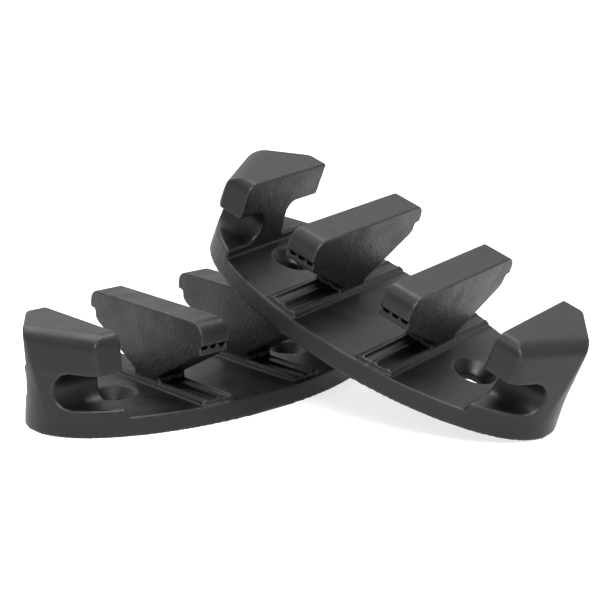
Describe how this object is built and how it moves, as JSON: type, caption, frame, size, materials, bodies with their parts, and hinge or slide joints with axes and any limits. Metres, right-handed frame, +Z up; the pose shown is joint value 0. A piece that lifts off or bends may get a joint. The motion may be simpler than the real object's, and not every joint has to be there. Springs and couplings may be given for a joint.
{
  "type": "screw-down hooked chock",
  "caption": "Pair of black moulded chocks, one leaning on the other; each has a boat-shaped foot, end hooks, T-shaped fins on ridged lands and countersunk screw holes.",
  "frame": {"origin": "middle of the bottom of the pair's bounding box, on the ground", "axes": "+X to the right along the longest side of the pair's box, +Y away from the front, +Z up"},
  "size_m": [0.1342, 0.092, 0.0587],
  "materials": {
    "lower_plastic": "satin black glass-filled moulded plastic with a fine grain",
    "upper_plastic": "satin black glass-filled moulded plastic with a fine grain"
  },
  "bodies": {
    "lower": {"lower_chock": "lower_plastic"},
    "upper": {"upper_chock": "upper_plastic"}
  },
  "joints": [
    {"name": "upper_lift", "type": "slide", "parent": "lower", "child": "upper", "axis": [0, 0, 1], "range_m": [0, 0.08]}
  ]
}
